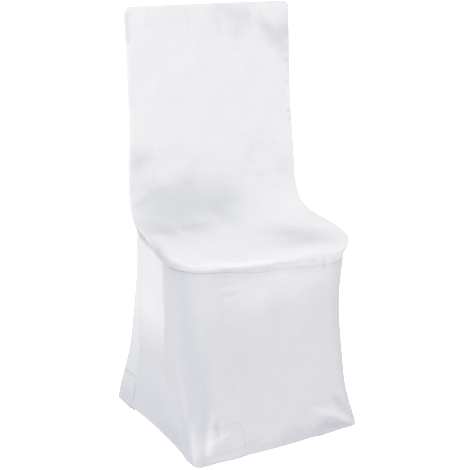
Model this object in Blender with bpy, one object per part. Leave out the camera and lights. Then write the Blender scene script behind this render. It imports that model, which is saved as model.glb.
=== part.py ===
"""Stretch cover for a dining chair: a hollow, seamed shell of knit cloth with four foot pockets.

The chair faces -Y, +Z is up, and the origin lies on the floor under the middle of the cover.
The cover is cut from an outside back, a front panel that runs down the inside back and over
the seat, one skirt round the front and both sides, and a pocket for each foot.
"""
import math
from functools import lru_cache

import bmesh
import bpy
from mathutils import Matrix, Vector

for old in list(bpy.data.objects):
    bpy.data.objects.remove(old, do_unlink=True)

# Driving sizes in metres
CLOTH = 0.0018
SEAM_GAP = 0.0003
TOP_HEIGHT = 1.013
REAR_TOP_DROP = 0.004
TOP_CORNER_RADIUS = 0.018
EDGE_ROLL = 0.006
LAP_HEIGHT = 0.575
SEAM_HEIGHT = 0.458
SEAT_CORNER_RADIUS = 0.086
SEAT_FRONT_BOW = 0.005
SEAT_EDGE_ROLL = 0.004
SEAT_EDGE_DROP = 0.45
BACK_EDGE_EASE = 0.55
SEAM_EASE = 0.004
FLAT_SHARE = 0.55
HEM_HEIGHT = 0.0035
POCKET_HEIGHT = 0.088
POCKET_STRAP_HEIGHT = 0.042
STRAP_CLEARANCE = 0.0012
POCKET_FLOOR_DISH = 0.0004
HEM_CROWDING = 0.78
CREASE_ANGLE = 40
SHARPEST_CORNER = 0.4

# How finely each panel is divided
ACROSS = 18
TOP_ARC_ROWS = 3
BACK_ROWS = 9
LAP_ROWS = 4
SIDE_ROWS = 10
CORNER_ROWS = 6
FRONT_BAND = 3
REAR_BAND = 4
SEAM_BAND = 2
POCKET_ROWS = 4
POCKET_FLOOR_ROWS = 3
FLAT_COLUMNS_IN = 3
SKIRT_ROWS = 13

# The back's sleeve at each height: its front outline, the seam's place and its rear
BACK_COLUMNS = ("height", "half_front", "y_front", "y_seam", "half_rear", "y_rear", "rear_radius")
BACK = (
    (0.458, 0.2150, 0.1392, 0.1300, 0.2109, 0.1790, 0.026),
    (0.487, 0.2220, 0.1405, 0.1380, 0.2132, 0.1790, 0.020),
    (0.516, 0.2280, 0.1424, 0.1450, 0.2168, 0.1792, 0.017),
    (0.545, 0.2315, 0.1440, 0.1490, 0.2181, 0.1797, 0.015),
    (0.575, 0.2322, 0.1457, 0.1517, 0.2172, 0.1805, 0.014),
    (0.675, 0.2268, 0.1512, 0.1572, 0.2117, 0.1835, 0.012),
    (0.790, 0.2212, 0.1576, 0.1636, 0.2057, 0.1885, 0.012),
    (0.900, 0.2197, 0.1637, 0.1697, 0.2064, 0.1937, 0.012),
    (1.013, 0.2200, 0.1700, 0.1760, 0.2085, 0.2000, 0.012),
)

# The front panel from the back's foot to the seat's front corners, one row for each station
SEAT_COLUMNS = ("station", "y", "half_left", "half_right", "z_left", "z_middle", "z_right")
SEAT = (
    (0, 0.1457, 0.2262, 0.2262, 0.5750, 0.5750, 0.5750),
    (1, 0.1400, 0.2285, 0.2290, 0.5480, 0.5490, 0.5460),
    (2, 0.1290, 0.2305, 0.2310, 0.5265, 0.5270, 0.5220),
    (3, 0.1130, 0.2320, 0.2325, 0.5115, 0.5080, 0.5060),
    (4, 0.0930, 0.2330, 0.2340, 0.5065, 0.4935, 0.4965),
    (6, 0.0570, 0.2340, 0.2360, 0.5020, 0.4785, 0.4900),
    (8, 0.0220, 0.2350, 0.2375, 0.4910, 0.4755, 0.4870),
    (10, -0.0120, 0.2355, 0.2390, 0.4790, 0.4755, 0.4840),
    (12, -0.0460, 0.2360, 0.2400, 0.4705, 0.4755, 0.4805),
    (14, -0.0800, 0.2360, 0.2400, 0.4665, 0.4755, 0.4750),
)

# The rounded front of the seat, by the share of its corner's quarter turn
FRONT_COLUMNS = ("turn", "z_left", "z_middle", "z_right")
FRONT = (
    (0.0, 0.4665, 0.4755, 0.4760),
    (0.3, 0.4670, 0.4750, 0.4710),
    (0.6, 0.4680, 0.4720, 0.4640),
    (0.8, 0.4680, 0.4680, 0.4600),
    (1.0, 0.4670, 0.4600, 0.4570),
)

# The seam under the seat's edge, by the share of the way from the rear left to the rear right
SEAM_COLUMNS = ("way", "height")
SEAM = (
    (0.00, 0.458), (0.22, 0.457), (0.32, 0.455), (0.40, 0.445), (0.47, 0.438),
    (0.56, 0.436), (0.63, 0.431), (0.70, 0.430), (0.80, 0.440), (1.00, 0.458),
)

# The skirt's plan, by the share of the height from the hem to the seam
SKIRT_COLUMNS = ("share", "left_front", "right_front", "half_rear", "y_left", "y_right", "y_rear",
                 "front_radius", "rear_radius", "front_bow", "side_bow", "rear_bow", "y_seam")
SKIRT = (
    (0.00, 0.2220, 0.2225, 0.2620, -0.2048, -0.1985, 0.2210, 0.015, 0.018, -0.0065, 0.0050, 0.0120, 0.124),
    (0.11, 0.2200, 0.2115, 0.2540, -0.1963, -0.1910, 0.2143, 0.018, 0.019, -0.0030, 0.0070, 0.0135, 0.124),
    (0.22, 0.2180, 0.2030, 0.2426, -0.1875, -0.1840, 0.2068, 0.023, 0.020, 0.0010, 0.0090, 0.0150, 0.125),
    (0.38, 0.2170, 0.2000, 0.2311, -0.1755, -0.1750, 0.1978, 0.032, 0.022, 0.0060, 0.0100, 0.0150, 0.127),
    (0.55, 0.2185, 0.2005, 0.2228, -0.1670, -0.1670, 0.1903, 0.043, 0.023, 0.0070, 0.0085, 0.0120, 0.129),
    (0.72, 0.2210, 0.2050, 0.2165, -0.1620, -0.1620, 0.1848, 0.056, 0.024, 0.0050, 0.0055, 0.0080, 0.130),
    (0.86, 0.2250, 0.2170, 0.2124, -0.1590, -0.1590, 0.1815, 0.068, 0.025, 0.0010, 0.0020, 0.0040, 0.130),
    (1.00, 0.2275, 0.2320, 0.2109, -0.1600, -0.1600, 0.1790, 0.080, 0.026, -0.0040, 0.0000, 0.0000, 0.130),
)

# How far the hem rises between the feet
HEM_RISE = {"left": 0.0070, "front": 0.0005, "right": 0.0070, "rear": 0.0110}

# Folds drawn from the feet: the side, where each starts and ends as shares of the side's run and
# of the height, its width and how far it stands out
FOLDS = (
    # side, run at start, share at start, run at end, share at end, width, rise
    ("left", 1.00, 0.06, 0.80, 0.62, 0.020, 0.0045),
    ("left", 0.97, 0.03, 0.60, 0.42, 0.022, -0.0045),
    ("left", 0.94, 0.02, 0.48, 0.24, 0.018, 0.0030),
    ("left", 0.10, 0.22, 0.30, 0.60, 0.022, -0.0030),
    ("front", 0.03, 0.05, 0.10, 0.62, 0.018, -0.0035),
    ("front", 0.05, 0.05, 0.24, 0.30, 0.018, 0.0035),
    ("front", 0.10, 0.02, 0.34, 0.12, 0.016, -0.0030),
    ("front", 0.97, 0.04, 0.88, 0.34, 0.018, 0.0035),
    ("front", 0.93, 0.03, 0.74, 0.16, 0.018, -0.0040),
    ("right", 0.04, 0.05, 0.28, 0.45, 0.022, -0.0045),
    ("right", 0.90, 0.20, 0.72, 0.55, 0.022, -0.0030),
    ("rear", 0.06, 0.20, 0.22, 0.55, 0.024, -0.0040),
    ("rear", 0.94, 0.20, 0.80, 0.50, 0.024, -0.0040),
)

# Each pocket: its corner and how many columns of cloth it takes on either side of the corner's arc
POCKETS = (
    # name, corner, columns before, columns after
    ("foot_pocket_front_left", "front_left", 2, 5),
    ("foot_pocket_front_right", "front_right", 5, 2),
    ("foot_pocket_rear_right", "rear_right", 2, 3),
    ("foot_pocket_rear_left", "rear_left", 3, 2),
)

CORNERS = ("front_left", "front_right", "rear_right", "rear_left")


def mix(a, b, share):
    return a + (b - a) * share


def soft_step(share):
    share = min(max(share, 0.0), 1.0)
    return share * share * (3 - 2 * share)


def read(table, columns, name, at):
    """Reads one named column of a table at a place in its first column, on a smooth curve."""
    col = columns.index(name)
    xs = [row[0] for row in table]
    ys = [row[col] for row in table]
    at = min(max(at, xs[0]), xs[-1])
    i = max(k for k in range(len(xs) - 1) if xs[k] <= at or k == 0)

    def slope(k):
        if k == 0 or k == len(xs) - 1:
            j = min(k, len(xs) - 2)
            return (ys[j + 1] - ys[j]) / (xs[j + 1] - xs[j])
        before = (ys[k] - ys[k - 1]) / (xs[k] - xs[k - 1])
        after = (ys[k + 1] - ys[k]) / (xs[k + 1] - xs[k])
        if before * after <= 0:
            return 0.0
        return 2 * before * after / (before + after)

    step = xs[i + 1] - xs[i]
    t = (at - xs[i]) / step
    return ((2 * t**3 - 3 * t**2 + 1) * ys[i] + (t**3 - 2 * t**2 + t) * step * slope(i)
            + (3 * t**2 - 2 * t**3) * ys[i + 1] + (t**3 - t**2) * step * slope(i + 1))


def bezier(p0, p1, p2, p3, t):
    u = 1 - t
    return p0 * u**3 + p1 * (3 * u * u * t) + p2 * (3 * u * t * t) + p3 * t**3


@lru_cache(maxsize=None)
def plan(share):
    """The skirt's plan at a share of its height: each corner's fillet, anticlockwise from above."""
    p = {name: read(SKIRT, SKIRT_COLUMNS, name, share) for name in SKIRT_COLUMNS[1:]}
    at = [Vector((-p["left_front"], p["y_left"])), Vector((p["right_front"], p["y_right"])),
          Vector((p["half_rear"], p["y_rear"])), Vector((-p["half_rear"], p["y_rear"]))]
    radii = [p["front_radius"], p["front_radius"], p["rear_radius"], p["rear_radius"]]
    fillets = {}
    for i, name in enumerate(CORNERS):
        back = (at[i - 1] - at[i]).normalized()
        on = (at[(i + 1) % 4] - at[i]).normalized()
        half = back.angle(on) / 2
        start = at[i] + back * (radii[i] / math.tan(half))
        centre = at[i] + (back + on).normalized() * (radii[i] / math.sin(half))
        first = math.atan2(start.y - centre.y, start.x - centre.x)
        turn = math.pi - 2 * half
        end = at[i] + on * (radii[i] / math.tan(half))
        fillets[name] = (centre, radii[i], first, turn, start, end)
    return p, fillets


SIDES = {"left": ("rear_left", "front_left", "side_bow"), "front": ("front_left", "front_right", "front_bow"),
         "right": ("front_right", "rear_right", "side_bow"), "rear": ("rear_right", "rear_left", "rear_bow")}


def fold_rise(side, run, share, length):
    """How far the folds of one side push the cloth out at a place."""
    total = 0.0
    for name, run_0, share_0, run_1, share_1, width, rise in FOLDS:
        if name != side:
            continue
        start = Vector((run_0 * length, share_0 * SEAM_HEIGHT))
        way = Vector((run_1 * length, share_1 * SEAM_HEIGHT)) - start
        here = Vector((run * length, share * SEAM_HEIGHT)) - start
        along = here.dot(way) / way.length_squared
        off = (here - way * min(max(along, 0.0), 1.0)).length
        fade = 1 - soft_step(along) if along > 0 else 1.0
        total += rise * fade * math.exp(-(off / width) ** 2)
    return total


def side_place(side, run, share):
    """A place on one side of the skirt's plan, from its first corner's arc to its second's."""
    p, fillets = plan(share)
    first, second, bow = SIDES[side]
    start, end = fillets[first][5], fillets[second][4]
    way = end - start
    out = Vector((way.y, -way.x)).normalized()
    reach = fold_rise(side, run, share, way.length) * math.sin(math.pi * run) ** 0.5
    reach -= p[bow] * math.sin(math.pi * run) ** 2
    return start + way * run + out * reach


def arc_place(corner, turn, share):
    centre, radius, first, angle, _, _ = plan(share)[1][corner]
    a = first + angle * turn
    return centre + Vector((math.cos(a), math.sin(a))) * radius


def seam_run(share):
    """Where the seam between skirt and outside back lies on the left side's run."""
    p, fillets = plan(share)
    start, end = fillets["rear_left"][5], fillets["front_left"][4]
    return (start.y - p["y_seam"]) / (start.y - end.y)


def hem(side, run):
    return HEM_HEIGHT + HEM_RISE[side] * (1 - (2 * run - 1) ** 4)


def skirt_column(column):
    """What a column of the skirt lies on, counted from the rear left seam round the front."""
    if column <= SIDE_ROWS:
        return "left", column / SIDE_ROWS
    column -= SIDE_ROWS
    if column < CORNER_ROWS:
        return "front_left", column / CORNER_ROWS
    column -= CORNER_ROWS
    if column <= ACROSS:
        return "front", column / ACROSS
    column -= ACROSS
    if column < CORNER_ROWS:
        return "front_right", column / CORNER_ROWS
    return "right", (column - CORNER_ROWS) / SIDE_ROWS


SKIRT_WIDTH = 2 * SIDE_ROWS + 2 * CORNER_ROWS + ACROSS


def skirt_point(column, share):
    on, run = skirt_column(column)
    low = HEM_HEIGHT
    if on in CORNERS:
        place = arc_place(on, run, share)
    else:
        crowd = mix(HEM_CROWDING, 1.0, share)
        if on == "left":
            run = mix(seam_run(share), 1.0, run ** crowd)
        elif on == "right":
            run = mix(0.0, 1.0 - seam_run(share), 1 - (1 - run) ** crowd)
        place = side_place(on, run, share)
        low = hem(on, run)
    high = read(SEAM, SEAM_COLUMNS, "height", column / SKIRT_WIDTH)
    return Vector((place.x, place.y, mix(low, high, share)))


def lower_back_point(step, share):
    """A place on the lower outside back, by its column from the left seam to the right one."""
    total = 2 * REAR_BAND + ACROSS
    mirrored = step > total / 2
    if mirrored:
        step = total - step
    run_seam = seam_run(share)
    if step <= SEAM_BAND:
        run = run_seam * (1 - step / SEAM_BAND)
        side, run = ("right", 1 - run) if mirrored else ("left", run)
        place, low = side_place(side, run, share), hem(side, run)
    elif step < REAR_BAND:
        turn = (step - SEAM_BAND) / (REAR_BAND - SEAM_BAND)
        corner = "rear_right" if mirrored else "rear_left"
        place, low = arc_place(corner, turn if mirrored else 1 - turn, share), HEM_HEIGHT
    else:
        run = (step - REAR_BAND) / ACROSS
        run = run if mirrored else 1 - run
        place, low = side_place("rear", run, share), hem("rear", run)
    return Vector((place.x, place.y, mix(low, SEAM_HEIGHT, share)))


def outline_point(half, top, inset, height, turn, y):
    """A place on the left half of a square-topped outline, with the turn of its top corner in degrees."""
    radius = TOP_CORNER_RADIUS
    if turn is None:
        return Vector((-(half - inset), y, height))
    a = math.radians(turn)
    return Vector((-(half - radius) - (radius - inset) * math.cos(a), y,
                   top - radius + (radius - inset) * math.sin(a)))


def back_levels():
    """Each row of the back from the top down: its height, and the top corner's turn where it has one."""
    corner = TOP_HEIGHT - TOP_CORNER_RADIUS
    levels = []
    for i in range(TOP_ARC_ROWS + 1):
        turn = 90 * (1 - i / TOP_ARC_ROWS)
        levels.append((corner + TOP_CORNER_RADIUS * math.sin(math.radians(turn)), turn))
    for i in range(1, BACK_ROWS + 1):
        levels.append((mix(corner, LAP_HEIGHT, i / BACK_ROWS), None))
    for i in range(1, LAP_ROWS):
        levels.append((mix(LAP_HEIGHT, SEAM_HEIGHT, i / LAP_ROWS), None))
    return levels


LEVELS = back_levels()


def sleeve_points(level):
    """The left edge of the sleeve at one row: from the seam, round the rear edge, to the rear face."""
    height, turn = level
    half = read(BACK, BACK_COLUMNS, "half_front", height)
    rear = read(BACK, BACK_COLUMNS, "half_rear", height)
    y_rear = read(BACK, BACK_COLUMNS, "y_rear", height)
    radius = read(BACK, BACK_COLUMNS, "rear_radius", height)
    y_seam = read(BACK, BACK_COLUMNS, "y_seam", height)
    rear_top = TOP_HEIGHT - REAR_TOP_DROP
    seam = outline_point(half, TOP_HEIGHT, 0, height, turn, y_seam)
    points = [seam]
    for angle in (0, 45, 90):
        a = math.radians(angle)
        inset = radius * (1 - math.cos(a))
        y = y_rear - radius + radius * math.sin(a)
        points.append(outline_point(rear, rear_top, inset, height, turn, y))
    points.insert(1, (seam + points[1]) / 2)
    return points


def flip(point):
    return Vector((-point.x, point.y, point.z))


# The whole outer surface is one mesh, so that panels that meet share their points and normals
body = bmesh.new()
panel_of = body.faces.layers.int.new("panel")
known = {}


def vertex(point):
    key = tuple(round(a * 1e5) for a in point)
    if key not in known:
        known[key] = body.verts.new(point)
    return known[key]


def weave(grid, panel, lean=None):
    """Fills a grid of points with triangles; lean says for each column which way its diagonals run."""
    for r in range(len(grid) - 1):
        for c in range(len(grid[0]) - 1):
            a, b = grid[r][c], grid[r][c + 1]
            d, e = grid[r + 1][c], grid[r + 1][c + 1]
            if lean is None or lean(c):
                pair = ((a, b, e), (a, e, d))
            else:
                pair = ((a, b, d), (b, e, d))
            for corners in pair:
                body.faces.new(corners)[panel_of] = panel


OUTSIDE_BACK, FRONT_PANEL, SKIRT_PANEL = 0, 1, 2


def outside_back_grid():
    """Rows from the top to the hem, each from the left seam to the right one."""
    rows = []
    for level in LEVELS:
        left = sleeve_points(level)
        right = [flip(p) for p in left]
        middle = [left[-1].lerp(right[-1], c / ACROSS) for c in range(1, ACROSS)]
        rows.append([vertex(p) for p in left + middle + right[::-1]])
    for share in shares()[::-1]:
        rows.append([vertex(lower_back_point(q, share)) for q in range(2 * REAR_BAND + ACROSS + 1)])
    return rows


def shares():
    """The skirt's rows from hem to seam, with a row at the pockets' top."""
    pocket = (POCKET_HEIGHT - HEM_HEIGHT) / (SEAM_HEIGHT - HEM_HEIGHT)
    low = [pocket * i / POCKET_ROWS for i in range(POCKET_ROWS)]
    high = SKIRT_ROWS - POCKET_ROWS
    return low + [mix(pocket, 1.0, i / high) for i in range(high + 1)]


def top_strip(rear_rows):
    """The sleeve's top, from the seam over to the rear face."""
    left = sleeve_points(LEVELS[0])
    right = [flip(p) for p in left]
    strip = []
    for k in range(REAR_BAND):
        line = [vertex(left[k].lerp(right[k], c / ACROSS)) for c in range(ACROSS + 1)]
        strip.append(line)
    strip.append(rear_rows[0][REAR_BAND:REAR_BAND + ACROSS + 1])
    return strip


def front_stations():
    """Each row of the front panel: its left and right lip, its points between, and how each edge turns."""
    rows = []
    for height, turn in LEVELS[:TOP_ARC_ROWS + BACK_ROWS + 1]:
        half = read(BACK, BACK_COLUMNS, "half_front", height)
        y = read(BACK, BACK_COLUMNS, "y_front", height)
        left = outline_point(half, TOP_HEIGHT, EDGE_ROLL, height, turn, y)
        a = math.radians(turn or 0)
        out = Vector((-math.cos(a), 0, math.sin(a)))
        line = [left.lerp(flip(left), c / ACROSS) for c in range(ACROSS + 1)]
        rows.append((line, out, flip(out), 0.0))
    for station in range(1, LAP_ROWS + SIDE_ROWS + 1):
        p = {name: read(SEAT, SEAT_COLUMNS, name, station) for name in SEAT_COLUMNS[1:]}
        rows.append((seat_line(p, 0.0), Vector((-1, 0, 0)), Vector((1, 0, 0)), min(station / LAP_ROWS, 1.0)))
    last = {name: read(SEAT, SEAT_COLUMNS, name, LAP_ROWS + SIDE_ROWS) for name in SEAT_COLUMNS[1:]}
    radius = SEAT_CORNER_RADIUS
    for i in range(1, CORNER_ROWS + 1):
        turn = i / CORNER_ROWS
        a = math.radians(90 * turn)
        p = {name: read(FRONT, FRONT_COLUMNS, name, turn) for name in FRONT_COLUMNS[1:]}
        p["y"] = last["y"] - radius * math.sin(a)
        p["half_left"] = last["half_left"] - radius * (1 - math.cos(a))
        p["half_right"] = last["half_right"] - radius * (1 - math.cos(a))
        out = Vector((-math.cos(a), -math.sin(a), 0))
        rows.append((seat_line(p, turn), out, flip(out), 1.0))
    return rows


def seat_line(p, turn):
    """One row across the seat, flat in the middle and led up or down to each edge."""
    line = []
    for c in range(ACROSS + 1):
        run = 2 * c / ACROSS - 1
        half = p["half_right"] if run > 0 else p["half_left"]
        edge = p["z_right"] if run > 0 else p["z_left"]
        lift = soft_step((abs(run) - FLAT_SHARE) / (1 - FLAT_SHARE))
        bow = SEAT_FRONT_BOW * soft_step(turn) * (1 - run * run)
        line.append(Vector((run * half, p["y"] - bow, mix(p["z_middle"], edge, lift))))
    return line


def turned_edge(lip, seam, out, seat_share):
    """The cloth from the panel's lip round to its seam: a small roll on the back, a drop on the seat."""
    ease = BACK_EDGE_EASE * EDGE_ROLL
    reach = out * mix(ease, SEAT_EDGE_ROLL, seat_share)
    drop = Vector((0, 0, SEAT_EDGE_DROP * (lip.z - seam.z))) + out * SEAM_EASE
    lead = Vector((0, -ease, 0)).lerp(drop, seat_share)
    return [bezier(lip, lip + reach, seam + lead, seam, k / FRONT_BAND) for k in range(1, FRONT_BAND)]


def build_front_panel(rear_rows, top_rows, skirt_top):
    """The patch and, round it, the turned edge that ends on the seams of its neighbours."""
    rows = front_stations()
    patch = [[vertex(p) for p in line] for line, _, _, _ in rows]
    weave(patch, FRONT_PANEL, lambda c: c < ACROSS / 2)
    upper = len(LEVELS)
    left, right = [], []
    for r, (line, out_left, out_right, share) in enumerate(rows):
        seam_left = rear_rows[r][0] if r < upper else skirt_top[r - upper]
        seam_right = rear_rows[r][-1] if r < upper else skirt_top[-1 - (r - upper)]
        for lip, seam, out, ends, edge in ((line[0], seam_left, out_left, left, patch[r][0]),
                                           (line[-1], seam_right, out_right, right, patch[r][-1])):
            between = [vertex(p) for p in turned_edge(lip, seam.co, out, share)]
            ends.append([seam] + between[::-1] + [edge])
    weave(left, FRONT_PANEL)
    weave(right, FRONT_PANEL)
    top = [left[0]]
    front = [left[-1]]
    for c in range(1, ACROSS):
        turned = turned_edge(rows[0][0][c], top_rows[0][c].co, Vector((0, 0, 1)), 0.0)
        top.append([top_rows[0][c]] + [vertex(p) for p in turned][::-1] + [patch[0][c]])
        seam = skirt_top[SIDE_ROWS + CORNER_ROWS + c]
        turned = turned_edge(rows[-1][0][c], seam.co, Vector((0, -1, 0)), 1.0)
        front.append([seam] + [vertex(p) for p in turned][::-1] + [patch[-1][c]])
    weave(top + [right[0]], FRONT_PANEL)
    weave(front + [right[-1]], FRONT_PANEL)


def skirt_lean(column):
    """Diagonals run down towards the nearer corner."""
    half_corner = SIDE_ROWS + CORNER_ROWS / 2
    if column < SKIRT_WIDTH / 2:
        return column < half_corner
    return column < SKIRT_WIDTH - half_corner


def rear_lean(column):
    total = 2 * REAR_BAND + ACROSS
    half_corner = (SEAM_BAND + REAR_BAND) / 2
    if column < total / 2:
        return column >= half_corner
    return column >= total - half_corner


rear_rows = outside_back_grid()
top_rows = top_strip(rear_rows)
skirt_rows = [[vertex(skirt_point(j, share)) for j in range(SKIRT_WIDTH + 1)] for share in shares()]
weave(rear_rows, OUTSIDE_BACK, rear_lean)
weave(top_rows, OUTSIDE_BACK)
build_front_panel(rear_rows, top_rows, skirt_rows[-1])
weave(skirt_rows, SKIRT_PANEL, skirt_lean)
bmesh.ops.recalc_face_normals(body, faces=body.faces)
body.normal_update()


def material(name, colour, roughness):
    mat = bpy.data.materials.new(name)
    mat.use_nodes = True
    shader = mat.node_tree.nodes["Principled BSDF"]
    shader.inputs["Base Color"].default_value = (*colour, 1.0)
    shader.inputs["Roughness"].default_value = roughness
    shader.inputs["Metallic"].default_value = 0.0
    return mat


sheets = []


def sheet(name, faces, outside, inside, finish):
    """A closed solid from a sheet's two faces: faces are rows of keys into the two tables of points."""
    mesh = bmesh.new()
    outer = {key: mesh.verts.new(p) for key, p in outside.items()}
    inner = {key: mesh.verts.new(p) for key, p in inside.items()}
    edges = {}
    for keys in faces:
        mesh.faces.new([outer[k] for k in keys])
        mesh.faces.new([inner[k] for k in reversed(keys)])
        for a, b in zip(keys, keys[1:] + keys[:1]):
            edges[(a, b)] = True
    for a, b in edges:
        if (b, a) not in edges:
            mesh.faces.new((outer[b], outer[a], inner[a]))
            mesh.faces.new((outer[b], inner[a], inner[b]))
    bmesh.ops.recalc_face_normals(mesh, faces=mesh.faces)
    data = bpy.data.meshes.new(name)
    mesh.to_mesh(data)
    mesh.free()
    sheets.append(data)
    data.materials.append(finish)
    data.shade_smooth()
    data.set_sharp_from_angle(angle=math.radians(CREASE_ANGLE))
    obj = bpy.data.objects.new(name, data)
    bpy.context.scene.collection.objects.link(obj)
    return obj


def panel_sheet(name, panel, finish):
    """One panel of the outer surface, drawn in half a gap at its edges and given its thickness."""
    faces = [f for f in body.faces if f[panel_of] == panel]
    verts = {v for f in faces for v in f.verts}
    draw_in = {}
    for face in faces:
        for loop in face.loops:
            others = [f for f in loop.edge.link_faces if f is not face and f[panel_of] == panel]
            if others:
                continue
            a, b = loop.vert, loop.link_loop_next.vert
            for v in (a, b):
                draw_in.setdefault(v, []).append(v.normal.cross(b.co - a.co).normalized())
    outside, inside = {}, {}
    for v in verts:
        move = Vector()
        if v in draw_in:
            total = sum(draw_in[v], Vector()).normalized()
            move = total * (SEAM_GAP / 2 / max(total.dot(draw_in[v][0]), SHARPEST_CORNER))
        outside[v] = v.co + move
        inside[v] = outside[v] - v.normal * CLOTH
    return sheet(name, [tuple(f.verts) for f in faces], outside, inside, finish)


def pocket_columns(corner, before, after):
    """The grid that a pocket lies over, from hem to pocket top, and its lean."""
    rear = rear_rows[::-1]
    total = 2 * REAR_BAND + ACROSS
    if corner == "front_left":
        first, last = SIDE_ROWS - before, SIDE_ROWS + CORNER_ROWS + after
        rows = skirt_rows
    elif corner == "front_right":
        first, last = SKIRT_WIDTH - SIDE_ROWS - CORNER_ROWS - before, SKIRT_WIDTH - SIDE_ROWS + after
        rows = skirt_rows
    elif corner == "rear_left":
        first, last = 0, REAR_BAND + before
        rows = rear
    else:
        first, last = total - REAR_BAND - after, total
        rows = rear
    return [row[first:last + 1] for row in rows[:POCKET_ROWS + 1]]


def foot_pocket(name, corner, before, after, finish):
    """One strip of cloth: a wall over the corner, a floor under the foot and a strap behind it.

    The floor's edges turn up a little, so that the foot rests on its flat middle.
    """
    rows = pocket_columns(corner, before, after)
    width = len(rows[0]) - 1
    near, far = SEAM_GAP, SEAM_GAP + CLOTH
    outside, inside, faces = {}, {}, []
    for k, row in enumerate(rows):
        for i, v in enumerate(row):
            if k == POCKET_ROWS and i in (0, width):
                continue
            outside["wall", i, k] = v.co + v.normal * far
            inside["wall", i, k] = v.co + v.normal * near

    def strap_end(i, height):
        low, high = rows[0][i].co, rows[POCKET_ROWS][i].co
        share = (height - low.z) / (high.z - low.z)
        normal = rows[1][i].normal
        flat = Vector((normal.x, normal.y, 0)).normalized()
        place = low.lerp(high, share) - flat * (CLOTH + STRAP_CLEARANCE)
        return Vector((place.x, place.y, height))

    middle = rows[0][width // 2].co
    rim = CLOTH + POCKET_FLOOR_DISH
    for k, height in enumerate((rim, POCKET_STRAP_HEIGHT / 2, POCKET_STRAP_HEIGHT)):
        start, end = strap_end(0, height), strap_end(width, height)
        way = end - start
        away = Vector((way.y, -way.x, 0)).normalized()
        if away.dot(start - middle) < 0:
            away = -away
        for i in range(width + 1):
            place = start + way * (i / width)
            inside["strap", i, k] = place
            outside["strap", i, k] = place + away * CLOTH
    for i in range(width + 1):
        back = inside["strap", i, 0]
        out_low = outside["wall", i, 0]
        in_low = inside["wall", i, 0]
        outside["floor", i, 0] = Vector((out_low.x, out_low.y, 0))
        inside["floor", i, 0] = Vector((in_low.x, in_low.y, rim))
        top = CLOTH if FLAT_COLUMNS_IN <= i <= width - FLAT_COLUMNS_IN else rim
        for k in range(1, POCKET_FLOOR_ROWS):
            place = inside["floor", i, 0].lerp(back, k / POCKET_FLOOR_ROWS)
            outside["floor", i, k] = Vector((place.x, place.y, 0))
            inside["floor", i, k] = Vector((place.x, place.y, top))
        outside["strap", i, 0].z = 0

    lines = [[("wall", i, k) for i in range(width + 1)] for k in range(POCKET_ROWS, -1, -1)]
    lines += [[("floor", i, k) for i in range(width + 1)] for k in range(POCKET_FLOOR_ROWS)]
    lines += [[("strap", i, k) for i in range(width + 1)] for k in (0, 1, 2)]
    for upper, lower in zip(lines, lines[1:]):
        for i in range(width):
            a, b, d, e = upper[i], upper[i + 1], lower[i], lower[i + 1]
            if i < width / 2:
                pair = ((a, b, d), (b, e, d))
            else:
                pair = ((a, b, e), (a, e, d))
            faces += [keys for keys in pair if all(k in outside for k in keys)]
    return sheet(name, faces, outside, inside, finish)


def centre_on_origin():
    """Moves every piece sideways together, until the origin is under the middle of the cover."""
    points = [v.co for data in sheets for v in data.vertices]
    middle_x = (min(p.x for p in points) + max(p.x for p in points)) / 2
    middle_y = (min(p.y for p in points) + max(p.y for p in points)) / 2
    for data in sheets:
        data.transform(Matrix.Translation((-middle_x, -middle_y, 0)))
    return -middle_x, -middle_y


panel_sheet("outside_back", OUTSIDE_BACK, material("outside_back_knit", (0.80, 0.81, 0.84), 0.62))
panel_sheet("front_panel", FRONT_PANEL, material("front_panel_knit", (0.84, 0.85, 0.87), 0.60))
panel_sheet("skirt", SKIRT_PANEL, material("skirt_knit", (0.76, 0.77, 0.80), 0.62))
pocket_knit = material("foot_pocket_knit", (0.70, 0.71, 0.75), 0.66)
for name, corner, before, after in POCKETS:
    foot_pocket(name, corner, before, after, pocket_knit)
body.free()
SHIFT_X, SHIFT_Y = centre_on_origin()
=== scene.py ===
"""White stretch dining chair cover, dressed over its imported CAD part.

The seat's front faces -Y and +Z is up. Each panel is a thin sheet of knit on its own solid's form.
"""

import math

import bpy
import numpy as np
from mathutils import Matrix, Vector
from mathutils.kdtree import KDTree


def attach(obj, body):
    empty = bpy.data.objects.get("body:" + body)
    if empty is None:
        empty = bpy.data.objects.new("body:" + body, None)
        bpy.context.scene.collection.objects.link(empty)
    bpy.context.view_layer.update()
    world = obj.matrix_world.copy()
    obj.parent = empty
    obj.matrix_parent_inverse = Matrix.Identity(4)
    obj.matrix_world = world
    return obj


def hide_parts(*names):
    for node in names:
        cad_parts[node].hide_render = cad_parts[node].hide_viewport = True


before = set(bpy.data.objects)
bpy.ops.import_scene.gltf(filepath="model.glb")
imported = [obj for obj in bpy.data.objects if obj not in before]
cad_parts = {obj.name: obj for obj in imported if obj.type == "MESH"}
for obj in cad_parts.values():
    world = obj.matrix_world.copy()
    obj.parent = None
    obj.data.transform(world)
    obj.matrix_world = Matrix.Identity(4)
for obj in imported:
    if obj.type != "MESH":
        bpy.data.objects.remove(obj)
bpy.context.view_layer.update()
bpy.ops.object.select_all(action="DESELECT")


# Outside back: one piece of white polyester jersey that closes the sleeve of the back and runs on
# down to the floor. It is cut flat, sewn to the front panel down both sides of the back and to the
# skirt below the seat, and hemmed at the floor.

# Metres, here as everywhere. The rear's top edge lies lower than the front's by REAR_DROP; the
# back's outline is led over to the skirt's from LED_FROM down; FORWARD centres the cover's depth.
TOP = 1.013
TOP_RADIUS = 0.018
REAR_DROP = 0.004
DROP_FROM, DROP_OVER = 0.93, 0.065
LED_FROM = 0.487
SEAM_HEIGHT = 0.458
HEM_HEIGHT = 0.0035
FORWARD = -0.0070960

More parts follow.
